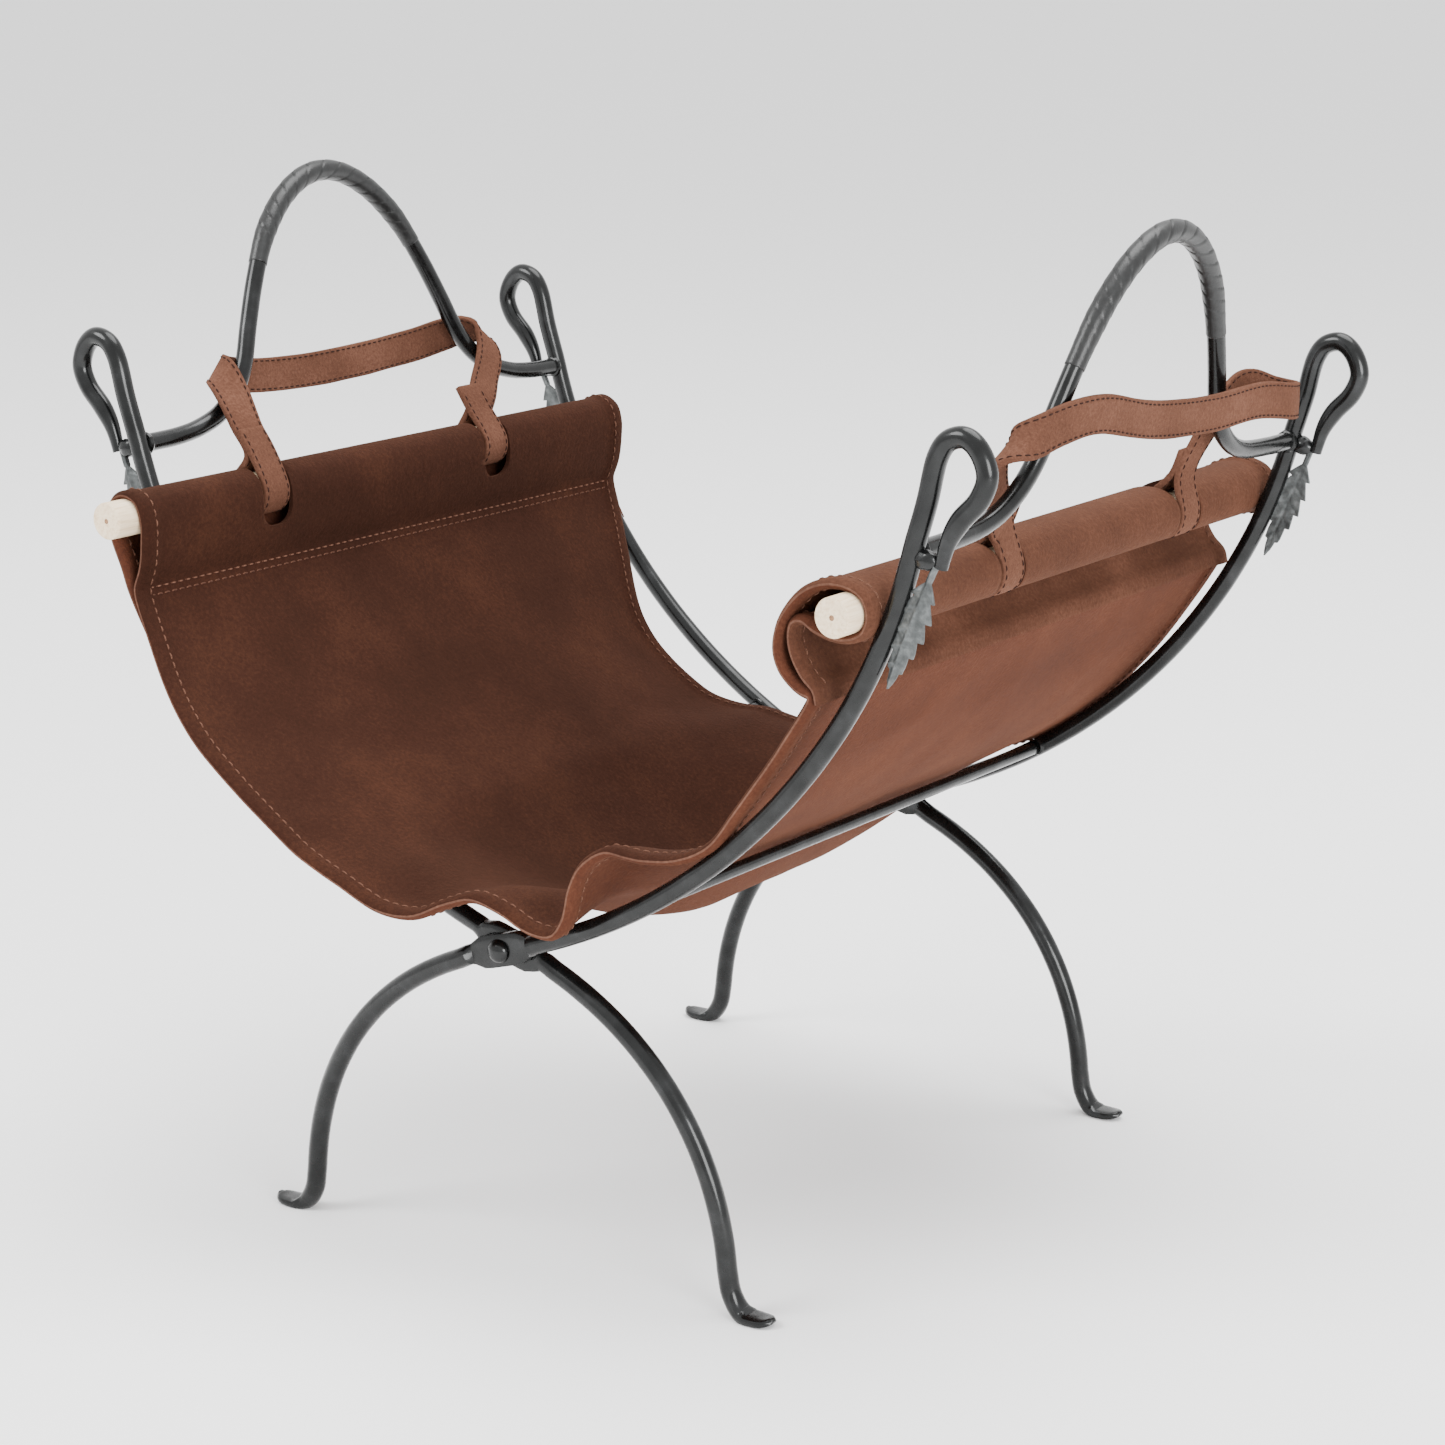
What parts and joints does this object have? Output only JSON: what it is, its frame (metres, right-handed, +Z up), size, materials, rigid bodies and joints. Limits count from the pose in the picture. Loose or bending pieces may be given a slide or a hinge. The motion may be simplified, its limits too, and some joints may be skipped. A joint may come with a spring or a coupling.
{
  "type": "magazine rack",
  "caption": "Folding forged-steel magazine rack: crossed half-frames on rivets, a suede sling on wooden dowels, bar handles, leather straps and leaf ornaments.",
  "frame": {"origin": "on the floor, under the middle of the rack's bounding box", "axes": "+Z up; X across the sling, from one handle to the other; Y along the dowels, with the near end, where the dowels stand out of the hems, at -Y"},
  "size_m": [0.5408, 0.418, 0.5056],
  "materials": {
    "forged_steel": "black, semi-gloss, lightly hammered",
    "leaf_metal": "pewter grey, veined",
    "grip": "black band wound in a spiral, satin",
    "dowel_wood": "pale, unvarnished",
    "sling_suede": "brown suede with a soft nap",
    "strap_leather": "light brown suede, stitched along both edges"
  },
  "bodies": {
    "frame_a": {"bar_a_near": "forged_steel", "bar_a_far": "forged_steel", "rivet_near": "forged_steel", "rivet_far": "forged_steel", "stretcher_right": "forged_steel", "hoop_right": "forged_steel", "grip_wrap_right": "grip", "leaf_right_near": "leaf_metal", "leaf_right_far": "leaf_metal", "dowel_right": "dowel_wood", "strap_right": "strap_leather", "sling_panel": "sling_suede"},
    "frame_b": {"bar_b_near": "forged_steel", "bar_b_far": "forged_steel", "stretcher_left": "forged_steel", "hoop_left": "forged_steel", "grip_wrap_left": "grip", "leaf_left_near": "leaf_metal", "leaf_left_far": "leaf_metal", "dowel_left": "dowel_wood", "strap_left": "strap_leather"}
  },
  "joints": [
    {"name": "fold", "type": "hinge", "parent": "frame_a", "child": "frame_b", "pos_m": [0, 0.01401, 0.162], "axis": [0, 1, 0], "range_deg": [-45, 70], "deforming": ["sling_panel"]}
  ]
}
